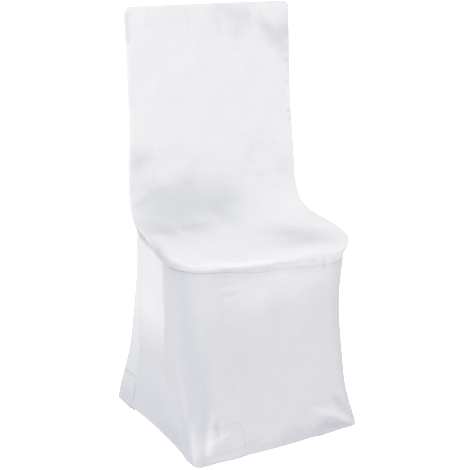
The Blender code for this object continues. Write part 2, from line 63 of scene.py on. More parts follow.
# height, half width of the front, y of the front, y of the seam, half width of the rear, y of the
# rear, radius of the rear edge
SLEEVE = (
    (0.458, 0.2150, 0.1392, 0.1300, 0.2109, 0.1790, 0.026),
    (0.487, 0.2220, 0.1405, 0.1380, 0.2132, 0.1790, 0.020),
    (0.516, 0.2280, 0.1424, 0.1450, 0.2168, 0.1792, 0.017),
    (0.545, 0.2315, 0.1440, 0.1490, 0.2181, 0.1797, 0.015),
    (0.575, 0.2322, 0.1457, 0.1517, 0.2172, 0.1805, 0.014),
    (0.675, 0.2268, 0.1512, 0.1572, 0.2117, 0.1835, 0.012),
    (0.790, 0.2212, 0.1576, 0.1636, 0.2057, 0.1885, 0.012),
    (0.900, 0.2197, 0.1637, 0.1697, 0.2064, 0.1937, 0.012),
    (1.013, 0.2200, 0.1700, 0.1760, 0.2085, 0.2000, 0.012),
)

# share of the height from hem to seam, half width at the front left, at the front right and at the
# rear, y at the front left, at the front right and at the rear, radius of the front corners and of
# the rear ones, bow of the front, of the sides and of the rear, y of the side seam
PLAN = (
    (0.00, 0.2220, 0.2225, 0.2620, -0.2048, -0.1985, 0.2210, 0.015, 0.018, -0.0065, 0.0050, 0.0120, 0.124),
    (0.11, 0.2200, 0.2115, 0.2540, -0.1963, -0.1910, 0.2143, 0.018, 0.019, -0.0030, 0.0070, 0.0135, 0.124),
    (0.22, 0.2180, 0.2030, 0.2426, -0.1875, -0.1840, 0.2068, 0.023, 0.020, 0.0010, 0.0090, 0.0150, 0.125),
    (0.38, 0.2170, 0.2000, 0.2311, -0.1755, -0.1750, 0.1978, 0.032, 0.022, 0.0060, 0.0100, 0.0150, 0.127),
    (0.55, 0.2185, 0.2005, 0.2228, -0.1670, -0.1670, 0.1903, 0.043, 0.023, 0.0070, 0.0085, 0.0120, 0.129),
    (0.72, 0.2210, 0.2050, 0.2165, -0.1620, -0.1620, 0.1848, 0.056, 0.024, 0.0050, 0.0055, 0.0080, 0.130),
    (0.86, 0.2250, 0.2170, 0.2124, -0.1590, -0.1590, 0.1815, 0.068, 0.025, 0.0010, 0.0020, 0.0040, 0.130),
    (1.00, 0.2275, 0.2320, 0.2109, -0.1600, -0.1600, 0.1790, 0.080, 0.026, -0.0040, 0.0000, 0.0000, 0.130),
)

HEM_RISE = {"left": 0.0070, "front": 0.0005, "right": 0.0070, "rear": 0.0110}

# Folds drawn from the feet: run and share where each starts and ends, its width and its rise
FAN_FOLDS = {
    "left": ((1.00, 0.06, 0.80, 0.62, 0.020, 0.0045), (0.97, 0.03, 0.60, 0.42, 0.022, -0.0045),
             (0.94, 0.02, 0.48, 0.24, 0.018, 0.0030), (0.10, 0.22, 0.30, 0.60, 0.022, -0.0030)),
    "front": ((0.03, 0.05, 0.10, 0.62, 0.018, -0.0035), (0.05, 0.05, 0.24, 0.30, 0.018, 0.0035),
              (0.10, 0.02, 0.34, 0.12, 0.016, -0.0030), (0.97, 0.04, 0.88, 0.34, 0.018, 0.0035),
              (0.93, 0.03, 0.74, 0.16, 0.018, -0.0040)),
    "right": ((0.04, 0.05, 0.28, 0.45, 0.022, -0.0045), (0.90, 0.20, 0.72, 0.55, 0.022, -0.0030)),
    "rear": ((0.06, 0.20, 0.22, 0.55, 0.024, -0.0040), (0.94, 0.20, 0.80, 0.50, 0.024, -0.0040)),
}


def mix(a, b, share):
    return a + (b - a) * share


def soft_step(share):
    share = np.clip(share, 0, 1)
    return share * share * (3 - 2 * share)


def along(table, column, at):
    """Reads a column of a table of sizes on a smooth curve, at places in the table's first column."""
    xs, ys = (np.array([row[k] for row in table], float) for k in (0, column))
    at = np.clip(at, xs[0], xs[-1])
    rise = np.diff(ys) / np.diff(xs)
    before, after = rise[:-1], rise[1:]
    total = np.where(before * after > 0, before + after, 1)
    inner = np.where(before * after > 0, 2 * before * after / total, 0)
    slope = np.concatenate([rise[:1], inner, rise[-1:]])
    i = np.clip(np.searchsorted(xs, at, "right") - 1, 0, len(xs) - 2)
    step = xs[i + 1] - xs[i]
    t = (at - xs[i]) / step
    return ((2 * t**3 - 3 * t**2 + 1) * ys[i] + (t**3 - 2 * t**2 + t) * step * slope[i]
            + (3 * t**2 - 2 * t**3) * ys[i + 1] + (t**3 - t**2) * step * slope[i + 1])


def point(x, y, z):
    """Points from coordinates that broadcast against each other."""
    return np.stack(np.broadcast_arrays(x, y, z), -1).astype(float)


def corners(share):
    """The plan's four rounded corners at a share of the height, as x + iy, anticlockwise from above."""
    half_left, half_right, half_rear, y_left, y_right, y_rear, front, rear = (
        along(PLAN, k, share) for k in range(1, 9))
    at = (-half_left + 1j * y_left, half_right + 1j * y_right,
          half_rear + 1j * y_rear, -half_rear + 1j * y_rear)
    found = {}
    for i, name in enumerate(("front_left", "front_right", "rear_right", "rear_left")):
        radius = front if i < 2 else rear
        back, on = at[i - 1] - at[i], at[(i + 1) % 4] - at[i]
        back, on = back / abs(back), on / abs(on)
        half = np.arccos((back * on.conjugate()).real) / 2
        start = at[i] + back * radius / np.tan(half)
        centre = at[i] + (back + on) / abs(back + on) * radius / np.sin(half)
        found[name] = centre, start - centre, np.pi - 2 * half, start, at[i] + on * radius / np.tan(half)
    return found


def on_corner(name, turn, share):
    """A place on a rounded corner of the plan; turn runs from 0 at its start to 1 at its end."""
    centre, arm, angle, _, _ = corners(share)[name]
    return centre + arm * np.exp(1j * angle * turn)


# each side's corners, and the column of PLAN that gives its bow
ENDS = {"left": ("rear_left", "front_left", 10), "front": ("front_left", "front_right", 9),
        "right": ("front_right", "rear_right", 10), "rear": ("rear_right", "rear_left", 11)}


def on_side(name, run, share):
    """A place on one side of the plan, with the side's bow and its fan of folds."""
    first, second, bow = ENDS[name]
    found = corners(share)
    start = found[first][4]
    way = found[second][3] - start
    length = abs(way)
    reach = 0
    for run_0, share_0, run_1, share_1, width, rise in FAN_FOLDS[name]:
        origin = run_0 * length + 1j * share_0 * SEAM_HEIGHT
        fold = run_1 * length + 1j * share_1 * SEAM_HEIGHT - origin
        here = run * length + 1j * share * SEAM_HEIGHT - origin
        part = (here * fold.conjugate()).real / abs(fold) ** 2
        off = abs(here - fold * np.clip(part, 0, 1))
        reach = reach + rise * (1 - soft_step(part)) * np.exp(-(off / width) ** 2)
    bump = np.sin(np.pi * np.clip(run, 0, 1))
    reach = reach * np.sqrt(np.maximum(bump, 0)) - along(PLAN, bow, share) * bump**2
    return start + way * run - 1j * way / length * reach


def seam_run(share):
    """Where the side seam lies on the left side's run."""
    found = corners(share)
    start, end = found["rear_left"][4].imag, found["front_left"][3].imag
    return (start - along(PLAN, 12, share)) / (start - end)


def hem_line(name, run):
    """The hem's height along one side: low at the feet, higher between them."""
    return HEM_HEIGHT + HEM_RISE[name] * (1 - (2 * run - 1) ** 4)


def hang(name, run, top, share):
    """Rows of one side or corner of the lower cover, between its seam and its hem."""
    if "_" in name:
        place, low = on_corner(name, run, share), HEM_HEIGHT
    else:
        place, low = on_side(name, run, share), hem_line(name, run)
    return point(place.real, place.imag, mix(low, top, share))


def rows_down(low, count):
    """Heights of the rows down the back to its low end, and the top corner's turn at each."""
    turn = np.concatenate([np.linspace(90, 0, 8), np.zeros(count)])
    rounded = TOP - TOP_RADIUS * (1 - np.sin(np.radians(turn[:8])))
    return np.concatenate([rounded, np.linspace(TOP - TOP_RADIUS, low, count + 1)[1:]]), turn


def outline(half, top, inset, height, turn, y):
    """The left half of the back's square-topped outline; turn is the top corner's, in degrees."""
    a = np.radians(turn)
    x = -(half - TOP_RADIUS) - (TOP_RADIUS - inset) * np.cos(a)
    straight = height - (TOP - top) * soft_step((height - DROP_FROM) / DROP_OVER)
    rounded = top - TOP_RADIUS + (TOP_RADIUS - inset) * np.sin(a)
    return point(x, y, np.where(turn > 0, rounded, straight))


AT_SEAM = np.float64(1)


def sleeve_seam(height, turn):
    """The seam between the back's two faces, led over to the skirt's plan below the lap."""
    seam = outline(along(SLEEVE, 1, height), TOP, 0, height, turn, along(SLEEVE, 3, height))
    low = hang("left", seam_run(AT_SEAM), height, AT_SEAM)
    share = soft_step((LED_FROM - height) / (LED_FROM - SEAM_HEIGHT))[..., None]
    return mix(seam, low, share)


# The back's columns, from a seam over its flat edge and round its rear edge, and then across
FLAT = np.linspace(0, 1, 17)[None]
ROUND = np.linspace(0, 1, 9)[None, 1:]
ACROSS = np.linspace(0, 1, 101)[1:-1]


def sleeve_rows(height, turn):
    """Rows of the back from the left seam round to the right one."""
    half, y_rear, radius = (along(SLEEVE, k, height) for k in (4, 5, 6))
    a = np.pi / 2 * np.concatenate([0 * FLAT, ROUND], 1)
    out = np.concatenate([FLAT, 0 * ROUND + 1], 1)[..., None]
    curve = outline(half, TOP - REAR_DROP, radius * (1 - np.cos(a)), height, turn,
                    y_rear - radius * (1 - np.sin(a)))
    seam = outline(along(SLEEVE, 1, height), TOP, 0, height, turn, along(SLEEVE, 3, height))
    left = mix(seam, curve, out)
    right = left[:, ::-1] * (-1, 1, 1)
    return np.concatenate([left, mix(left[:, -1:], right[:, :1], ACROSS[:, None]), right], 1)


def lower_rows(share):
    """The same columns below the seat, where the cloth hangs as the skirt's rear."""
    run = seam_run(share) * (1 - FLAT)
    parts = (("left", run), ("rear_left", 1 - ROUND), ("rear", 1 - ACROSS),
             ("rear_right", ROUND[:, ::-1]), ("right", 1 - run[:, ::-1]))
    return np.concatenate([hang(name, at, SEAM_HEIGHT, share) for name, at in parts], 1)


def flat_place(grid, down=0.0):
    """Where each point lies on the cloth as cut, in metres across and along it."""
    step = np.linalg.norm(np.diff(grid, axis=1), axis=2)
    across = np.concatenate([np.zeros((len(grid), 1)), np.cumsum(step, 1)], 1)
    across -= across[:, across.shape[1] // 2][:, None]
    middle = grid[:, grid.shape[1] // 2]
    fall = np.concatenate([[0], np.cumsum(np.linalg.norm(np.diff(middle, axis=0), axis=1))])
    return np.stack([across, np.broadcast_to(fall[:, None] + down, across.shape)], -1)


def sew(name, patches):
    """One open sheet from patches of points, in rows down the cloth, that share their edges."""
    points = np.concatenate([p.reshape(-1, 3) for p, _ in patches]) + (0, FORWARD, 0)
    flats = np.concatenate([f.reshape(-1, 2) for _, f in patches])
    _, first, same = np.unique(np.round(points, 5), axis=0, return_index=True, return_inverse=True)
    quads, start = [], 0
    for grid, _ in patches:
        ids = start + np.arange(grid.shape[0] * grid.shape[1]).reshape(grid.shape[:2])
        around = ids[:-1, :-1], ids[1:, :-1], ids[1:, 1:], ids[:-1, 1:]
        quads.append(np.stack(around, -1).reshape(-1, 4))
        start += ids.size
    quads = np.concatenate(quads)
    mesh = bpy.data.meshes.new(name)
    mesh.from_pydata(points[first].tolist(), [], same.reshape(-1)[quads].tolist())
    cloth = mesh.uv_layers.new(name="cloth").data
    cloth.foreach_set("uv", flats[quads.reshape(-1)].astype(np.float32).ravel())
    piece = bpy.data.objects.new(name, mesh)
    bpy.context.scene.collection.objects.link(piece)
    return piece


def numbers(things, key, width=1, kind=np.float32):
    """Reads one fact of all of a mesh's points, corners, edges or faces."""
    values = np.empty(len(things) * width, kind)
    things.foreach_get(key, values)
    return values.reshape(-1, width) if width > 1 else values


def add_lines(points, lines):
    """What the listed lines, such as creases, add at each point.

    A line has its width and its height, and then how much of the height it keeps at its start and
    at its end. It has all of it halfway.
    """
    total = np.zeros(len(points))
    for line, width, height, first, last in lines:
        line = np.array(line, float)
        lengths = np.linalg.norm(np.diff(line, axis=0), axis=1)
        best, share = np.full(len(points), 9.0), np.zeros(len(points))
        done = 0.0
        for a, b, length in zip(line, line[1:], lengths):
            part = np.clip((points - a) @ (b - a) / length**2, 0, 1)
            off = np.linalg.norm(points - a - part[:, None] * (b - a), axis=1)
            share = np.where(off < best, (done + part * length) / lengths.sum(), share)
            best = np.minimum(off, best)
            done += length
        hold = mix(first, last, share)
        hold += (1 - hold) * np.sin(np.pi * share)
        total += height * hold * np.exp(-(best / width) ** 2)
    return total


# How far an edge is drawn in, how high the cloth's slow waves are, how deep a seam sinks, how deep a
# pocket's edge is pressed in, and how far a hem's turned fold stands up and how wide it is
DRAWN_IN, WAVES, SEAM_SINK = 0.00004, 0.0006, 0.0004
PRESSED_IN, HEM_FOLD, HEM_WIDTH = 0.0008, 0.0004, 0.017


def press(piece, creases, hem_below=0.0, seed=1.0, laid_over=False):
    """Draws the sheet in at its edges, sinks its seams and lays in its creases.

    It notes how far each point is from a seam and from a hem. A piece laid over another one follows
    the creases of the cloth under it to its edge.
    """
    mesh = piece.data
    points = numbers(mesh.vertices, "co", 3).astype(float)
    normals = numbers(mesh.vertex_normals, "vector", 3).astype(float)
    corner_vertex = numbers(mesh.loops, "vertex_index", kind=np.int32)
    corner_edge = numbers(mesh.loops, "edge_index", kind=np.int32)
    ends = numbers(mesh.edges, "vertices", 2, np.int32)
    rim = ends[np.bincount(corner_edge, minlength=len(ends)) == 1]
    middles = np.repeat(numbers(mesh.polygons, "center", 3), 4, axis=0)
    pull = np.zeros_like(points)
    np.add.at(pull, corner_vertex, middles - points[corner_vertex])
    rim_vertices = np.unique(rim)
    pull = pull[rim_vertices]
    points[rim_vertices] += pull / np.linalg.norm(pull, axis=1)[:, None] * DRAWN_IN

    def away(pairs):
        if not len(pairs):
            return np.full(len(points), 0.5)
        close = np.concatenate([mix(points[pairs[:, 0]], points[pairs[:, 1]], k / 4) for k in range(4)])
        tree = KDTree(len(close))
        for i, place in enumerate(close):
            tree.insert(place, i)
        tree.balance()
        return np.array([tree.find(place)[2] for place in points])

    is_hem = points[rim].mean(1)[:, 2] < hem_below
    seam, hem = away(rim[~is_hem]), away(rim[is_hem])
    x, y, z = points.T
    rise = WAVES * (np.sin(x * 41 + seed) * np.sin(z * 29 + y * 33 + 2 * seed)
                    + 0.6 * np.sin(x * 77 + z * 25 + 3 * seed) * np.sin(z * 61 - y * 52 + seed))
    rise += add_lines(points, creases)
    if laid_over:
        rise *= soft_step((z - 0.004) / 0.008)
        rise -= PRESSED_IN * np.exp(-(np.minimum(seam, hem) / 0.0030) ** 2)
    else:
        rise *= 1 - np.exp(-(np.minimum(seam, hem) / 0.004) ** 2)
        rise += HEM_FOLD * soft_step((HEM_WIDTH - hem) / 0.003)
        rise -= SEAM_SINK * np.exp(-(seam / 0.0035) ** 2)
    points += normals * rise[:, None]
    mesh.vertices.foreach_set("co", points.astype(np.float32).ravel())
    for name, values in (("seam", seam), ("hem", hem)):
        noted = mesh.attributes.new(name, "FLOAT", "POINT")
        noted.data.foreach_set("value", values.astype(np.float32))
    mesh.update()


def shade(piece, base, patches, lines=()):
    """Notes how much the cloth greys where nothing lies behind it, and paints shade into its folds and
    hollows and highlights along its ridges.

    Patches are soft spots whose edges waver by 8 mm and then by 2 mm; lines follow folds and bands.
    A negative strength paints a highlight.
    """
    points = numbers(piece.data.vertices, "co", 3).astype(float)
    ragged = points + 0.008 * np.sin(points[:, (2, 2, 0)] * 57 + points[:, (1, 1, 1)] * 37 + (0, 2, 4))
    ragged += 0.002 * np.sin(points[:, (1, 0, 0)] * 170 + points[:, (2, 2, 2)] * 110 + (1, 3, 5))
    # Painted shade and painted highlight, added to the greying of cloth over empty space
    sheer = base(points) + add_lines(points, lines)
    for centre, reach, strength in patches:
        sheer += strength * np.exp(-(((ragged - centre) / reach) ** 2).sum(1))
    noted = piece.data.attributes.new("sheer", "FLOAT", "POINT")
    noted.data.foreach_set("value", np.clip(sheer, 0, 1.4).astype(np.float32))


def make_up(piece, node_name, knit, thickness=0.0014):
    """Gives the sheet its thickness and cloth, and tells the frame what it is."""
    piece.data.shade_smooth()
    bpy.context.view_layer.objects.active = piece
    solid = piece.modifiers.new("thickness", "SOLIDIFY")
    solid.thickness = thickness
    solid.offset = -1
    bpy.ops.object.modifier_apply(modifier=solid.name)
    piece.data.set_sharp_from_angle(angle=math.radians(50))
    piece.data.materials.append(knit)
    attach(piece, "root")
    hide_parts(node_name)


def paint(code):
    """A colour as screens give it, such as "#EEF0F2", in the linear values that light needs."""
    parts = [int(code[i:i + 2], 16) / 255 for i in (1, 3, 5)]
    return [c / 12.92 if c < 0.04045 else ((c + 0.055) / 1.055) ** 2.4 for c in parts] + [1.0]


def node(tree, kind, settings=(), inputs=(), out=0):
    """Adds a node with its own settings, its inputs as numbers or other outputs, and gives its output."""
    made = tree.nodes.new("ShaderNode" + kind)
    for key, value in dict(settings).items():
        setattr(made, key, value)
    for key, value in dict(inputs).items():
        if isinstance(value, bpy.types.NodeSocket):
            tree.links.new(value, made.inputs[key])
        else:
            made.inputs[key].default_value = value
    return made.outputs[out]


# Distances in the knit, in metres: its wales and its courses, one stitch of the thread, and how far
# a row of stitches lies from a seam and from a hem. Then how many spots of fuzz (6 mm), clouds
# (30 mm) and streaks (2.4 mm) it has in a metre.
WALE, COURSE, STITCH = 0.0034, 0.00272, 0.0045
FROM_SEAM, FROM_HEM = 0.0052, 0.014
SPOTS, CLOUDS, STREAKS = 170, 34, 420


def stretch_knit(name, light, dark, stitching=0.045, edge=0.05):
    """White polyester and elastane jersey: matt, slightly fuzzy, with faint wales and a mottled face.

    It reads as soft off-white, a little greyer where light passes through it, and it carries the painted
    shade and painted highlights noted on each sheet. The real wales are 0.9 mm apart; they are drawn at
    nearly four times that, so that they show in the render.
    """
    made = bpy.data.materials.new(name)
    made.use_nodes = True
    tree = made.node_tree
    shader = tree.nodes["Principled BSDF"]
    place = node(tree, "TexCoord", out="Object")
    flat = node(tree, "UVMap", {"uv_map": "cloth"})
    u, v = (node(tree, "SeparateXYZ", (), {"Vector": flat}, axis) for axis in "XY")
    seam, hem, sheer = (node(tree, "Attribute", {"attribute_name": key}, out="Fac")
                        for key in ("seam", "hem", "sheer"))

    # Spots of fuzz, soft clouds, and streaks that run down the cloth
    pulled = node(tree, "Mapping", (), {"Vector": flat, "Scale": (1.0, 0.28, 1.0)})
    spots, clouds, streaks = (
        node(tree, "TexNoise", (), {
            "Vector": at, "Scale": count, "Detail": detail, "Roughness": rough}, "Fac")
        for at, count, detail, rough in ((place, SPOTS, 2.0, 0.6), (place, CLOUDS, 4.0, 0.6),
                                         (pulled, STREAKS, 1.0, 0.5)))

    # Wales that wander by 2 mm either way, the courses across them, and the thread's stitches
    wander = node(tree, "Math", {"operation": "MULTIPLY_ADD"}, {0: clouds, 1: 0.004, 2: -0.002})
    bent = node(tree, "Math", {"operation": "ADD"}, {0: u, 1: wander})
    slant = node(tree, "Math", {"operation": "ADD"}, {0: u, 1: v})
    turns = [node(tree, "Math", {"operation": "MULTIPLY"}, {0: way, 1: 2 * math.pi / spacing})
             for way, spacing in ((bent, WALE), (v, COURSE), (slant, STITCH))]
    wales, courses, stitches = (node(tree, "Math", {"operation": "SINE"}, {0: turn}) for turn in turns)
    depth = node(tree, "Math", {"operation": "MULTIPLY_ADD"}, {0: courses, 1: 0.25, 2: 0.75})
    loops = node(tree, "Math", {"operation": "MULTIPLY"}, {0: wales, 1: depth})

    # The rows of stitches, the dark gap along a seam, a painted highlight along a hem's edge, and the
    # fuzz's gloss
    beside = [node(tree, "Math", {"operation": "SUBTRACT"}, {0: way, 1: row})
              for way, row in ((seam, FROM_SEAM), (hem, FROM_HEM))]
    off_seam, off_hem = (node(tree, "Math", {"operation": "ABSOLUTE"}, {0: way}) for way in beside)
    seam_row, hem_row, dashes, seam_gap, hem_highlight, fuzz = (
        node(tree, "MapRange", {"interpolation_type": "SMOOTHSTEP"}, {
            "Value": value, "From Min": low, "From Max": high, "To Min": first, "To Max": last}, "Result")
        for value, low, high, first, last in (
            (off_seam, 0.0, 0.0011, 1.0, 0.0), (off_hem, 0.0, 0.0012, 1.0, 0.0),
            (stitches, -0.5, 0.4, 0.35, 1.0), (seam, 0.0004, 0.0024, 1.0, 0.0),
            (hem, 0.001, 0.006, 0.5, 0.0), (spots, 0.2, 0.8, 0.78, 0.92)))
    rows = node(tree, "Math", {"operation": "MAXIMUM"}, {0: seam_row, 1: hem_row})
    thread = node(tree, "Math", {"operation": "MULTIPLY"}, {0: rows, 1: dashes})
    gap = node(tree, "Math", {"operation": "SUBTRACT"}, {0: seam_gap, 1: hem_highlight})

    # Each pattern's share in the cloth's tone, where the noises lie round 0.5, and in its relief
    tone = 1 - 0.5 * (0.085 + 0.05 + 0.06)
    for part, strength in ((spots, 0.085), (streaks, 0.05), (clouds, 0.06), (loops, 0.012),
                           (thread, -stitching), (gap, -edge)):
        tone = node(tree, "Math", {"operation": "MULTIPLY_ADD"}, {0: part, 1: strength, 2: tone})
    height = 0.0
    for part, strength in ((loops, 0.00010), (spots, 0.00035), (thread, -0.00035)):
        height = node(tree, "Math", {"operation": "MULTIPLY_ADD"}, {0: part, 1: strength, 2: height})
    # The light and dark tones are mixed by the noted greying: part light through the cloth, part painted
    # shade and painted highlight
    cloth = node(tree, "Mix", {"data_type": "RGBA"}, {0: sheer, 6: paint(light), 7: paint(dark)}, 2)
    colour = node(tree, "VectorMath", {"operation": "SCALE"}, {0: cloth, "Scale": tone})
    bump = node(tree, "Bump", (), {"Strength": 0.55, "Distance": 1.0, "Height": height})
    for key, value in (("Base Color", colour), ("Normal", bump), ("Roughness", fuzz)):
        tree.links.new(value, shader.inputs[key])
    for key, value in (("Metallic", 0.0), ("IOR", 1.5), ("Specular IOR Level", 0.25),
                       ("Sheen Weight", 0.12), ("Sheen Roughness", 0.5)):
        shader.inputs[key].default_value = value
    return made


top_height, top_turn = (k[:, None] for k in rows_down(SEAM_HEIGHT, 138))
upper_back = sleeve_rows(top_height, top_turn)
meeting = np.broadcast_to(lower_rows(np.ones((1, 1))), upper_back.shape)
led = soft_step((LED_FROM - top_height) / (LED_FROM - SEAM_HEIGHT))[..., None]
upper_back[..., :2] = mix(upper_back, meeting, led)[..., :2]
back_grid = np.concatenate([upper_back, lower_rows(np.linspace(1, 0, 118)[1:, None])])[:, ::-1]
top_left = upper_back[0, :FLAT.size + ROUND.size]
top_grid = mix(top_left[:, None], (top_left * (-1, 1, 1))[:, None], np.linspace(0, 1, 101)[:, None])
top_grid = top_grid[:, ::-1]


def back_sheer(p):
    """The cloth is a little greyer low down, from about a third of a metre towards the floor."""
    return 0.15 + 0.45 * soft_step((0.34 - p[:, 2]) / 0.26)


outside_back = sew("outside_back_cloth", [
    (back_grid, flat_place(back_grid)), (top_grid, flat_place(top_grid, -0.06))])
BACK_FOLDS = [
    ([(-0.212, 0.150, 0.545), (-0.225, 0.141, 0.575)], 0.008, -0.0015, 0, 1),
    ([(-0.214, 0.165, 0.60), (-0.150, 0.173, 0.64), (-0.06, 0.176, 0.66)], 0.014, -0.0018, 1, 0),
    ([(0.214, 0.165, 0.58), (0.150, 0.173, 0.63), (0.05, 0.176, 0.66)], 0.014, -0.0020, 1, 0),
    ([(-0.205, 0.168, 0.50), (-0.120, 0.172, 0.47), (0.02, 0.172, 0.46)], 0.016, 0.0022, 1, 0),
    ([(0.205, 0.168, 0.49), (0.100, 0.172, 0.455), (-0.05, 0.172, 0.47)], 0.016, -0.0020, 1, 0),
    ([(-0.235, 0.205, 0.10), (-0.150, 0.185, 0.28), (-0.08, 0.175, 0.42)], 0.016, 0.0030, 1, 0),
    ([(0.235, 0.205, 0.10), (0.165, 0.185, 0.25), (0.11, 0.175, 0.40)], 0.016, 0.0030, 1, 0),
    ([(-0.240, 0.207, 0.06), (-0.120, 0.195, 0.12), (-0.02, 0.190, 0.13)], 0.014, -0.0028, 1, 0),
    ([(0.240, 0.207, 0.06), (0.110, 0.195, 0.11), (0.01, 0.190, 0.10)], 0.014, -0.0028, 1, 0),
]
BACK_SHADES = [((x, 0.15, 0.02), (0.03, 0.06, 0.05), 0.35) for x in (-0.245, 0.245)]
press(outside_back, BACK_FOLDS, hem_below=0.03, seed=2.3)
shade(outside_back, back_sheer, BACK_SHADES)
make_up(outside_back, "outside_back",
        stretch_knit("White stretch jersey, outside back", "#DADADC", "#B8BAC0"))


# Skirt: one strip of the same jersey round the front and both sides, between the seams of the
# outside back. It is sewn to the front panel under the seat's edge, rounds the seat's corners and
# is drawn out to each foot, where it is stretched into folds; its floor edge is turned up once.

# way round from the rear left to the rear right, height of the seam
SEAT_SEAM = ((0.00, 0.458), (0.22, 0.457), (0.32, 0.455), (0.40, 0.445), (0.47, 0.438),
             (0.56, 0.436), (0.63, 0.431), (0.70, 0.430), (0.80, 0.440), (1.00, 0.458))

# where each side or corner starts on the way round and how long it is, both in fiftieths of it
STRETCHES = {"left": (0, 10), "front_left": (10, 6), "front": (16, 18), "front_right": (34, 6),
             "right": (40, 10)}


def skirt_rows(name, t, share):
    """Rows of one side or corner of the skirt; t runs along it, from the left seam to the right one.

    On both sides the columns lie closer together towards the front foot, most of all low down.
    """
    start, length = STRETCHES[name]
    crowd = mix(0.78, 1.0, share)
    run = t
    if name == "left":
        run = mix(seam_run(share), 1.0, t ** crowd)
    if name == "right":
        run = 1 - mix(seam_run(share), 1.0, (1 - t) ** crowd)
    return hang(name, run, along(SEAT_SEAM, 1, (start + t * length) / 50), share)


sides, arcs, wide = np.linspace(0, 1, 89), np.linspace(0, 1, 15)[1:-1], np.linspace(0, 1, 109)
skirt_grid = np.concatenate([
    skirt_rows(name, t, np.linspace(1, 0, 124)[:, None])
    for name, t in zip(STRETCHES, (sides, arcs, wide, arcs, sides))], 1)
skirt = sew("skirt_cloth", [(skirt_grid, flat_place(skirt_grid))])
SKIRT_FOLDS = [
    ([(-0.222, -0.054, 0.450), (-0.217, -0.0375, 0.357), (-0.2135, -0.023, 0.274)], 0.007, -0.0018, 1, 0),
    ([(-0.222, -0.040, 0.450), (-0.217, -0.022, 0.357), (-0.2135, -0.005, 0.274)], 0.010, 0.0022, 1, 0),
    ([(-0.215, -0.124, 0.441), (-0.210, -0.142, 0.345), (-0.207, -0.164, 0.232), (-0.213, -0.184, 0.113)],
     0.008, -0.0022, 0.5, 0.5),
    ([(-0.214, 0.068, 0.318), (-0.216, 0.041, 0.196), (-0.217, -0.022, 0.143), (-0.220, -0.1195, 0.109)],
     0.011, -0.0022, 0, 1),
    ([(-0.218, -0.093, 0.252), (-0.219, -0.154, 0.151), (-0.220, -0.185, 0.080)], 0.011, -0.0020, 0, 0.8),
    ([(-0.218, -0.065, 0.252), (-0.219, -0.130, 0.151), (-0.220, -0.178, 0.070)], 0.012, 0.0022, 0, 0.8),
    ([(-0.222, -0.193, 0.030), (-0.230, -0.100, 0.045), (-0.232, -0.010, 0.050)], 0.010, 0.0020, 1, 0),
    ([(-0.186, -0.2085, 0.030), (-0.180, -0.203, 0.066), (-0.163, -0.191, 0.130)], 0.008, 0.0022, 1, 0),
    ([(-0.160, -0.1966, 0.092), (-0.158, -0.203, 0.060)], 0.006, -0.0020, 1, 0.4),
    ([(-0.179, -0.2065, 0.052), (-0.150, -0.2045, 0.060), (-0.120, -0.201, 0.070)], 0.008, 0.0020, 1, 0),
    ([(-0.185, -0.209, 0.018), (-0.109, -0.211, 0.021), (-0.050, -0.211, 0.020)], 0.007, -0.0018, 1, 0),
    ([(0.212, -0.207, 0.014), (0.185, -0.204, 0.028), (0.145, -0.200, 0.050), (0.100, -0.199, 0.072)],
     0.010, 0.0028, 1, 0),
    ([(0.213, -0.2065, 0.022), (0.185, -0.200, 0.060), (0.159, -0.194, 0.088)], 0.008, -0.0026, 1, 0),
    ([(0.210, -0.205, 0.010), (0.171, -0.206, 0.019), (0.158, -0.203, 0.029), (0.114, -0.204, 0.041)],
     0.007, -0.0032, 1, 0),
    ([(0.190, -0.209, 0.008), (0.130, -0.211, 0.012)], 0.006, -0.0016, 1, 0),
    ([(0.2135, -0.190, 0.055), (0.207, -0.186, 0.085)], 0.007, -0.0022, 1, 0),
    ([(-0.091, -0.1675, 0.428), (0.010, -0.168, 0.412), (0.113, -0.166, 0.394)], 0.012, 0.0016, 0, 0),
    ([(0.100, -0.168, 0.440), (0.108, -0.168, 0.415)], 0.004, -0.0014, 1, 0),
    ([(0.132, -0.166, 0.440), (0.138, -0.166, 0.412)], 0.004, -0.0014, 1, 0),
    ([(0.162, -0.162, 0.440), (0.168, -0.162, 0.415)], 0.004, -0.0012, 1, 0),
    ([(0.214, -0.060, 0.40), (0.205, -0.020, 0.28), (0.212, 0.040, 0.16)], 0.014, 0.0024, 0, 0),
    ([(0.222, 0.060, 0.38), (0.210, 0.010, 0.25), (0.212, -0.080, 0.12), (0.215, -0.160, 0.05)],
     0.014, -0.0026, 0, 1),
]
press(skirt, SKIRT_FOLDS, hem_below=0.03, seed=0.7)


def skirt_sheer(p):
    """Painted light and shade: the left side is lit bright high up behind its long crease, and shaded grey
    in front of it and low down.
    """
    x, y, z = p.T
    front = 0.52 - 0.10 * soft_step((0.10 - z) / 0.08)
    behind = soft_step((y + 0.053 - (0.45 - z) * 0.15) / 0.022) * soft_step((z - 0.16) / 0.16)
    left = 0.72 - 0.78 * behind
    right = 0.34 + 0.20 * soft_step((0.20 - z) / 0.18)
    front = mix(front, right, soft_step((y + 0.13) / 0.10) * (x > 0))
    return mix(front, left, soft_step((-0.150 - x) / 0.05))
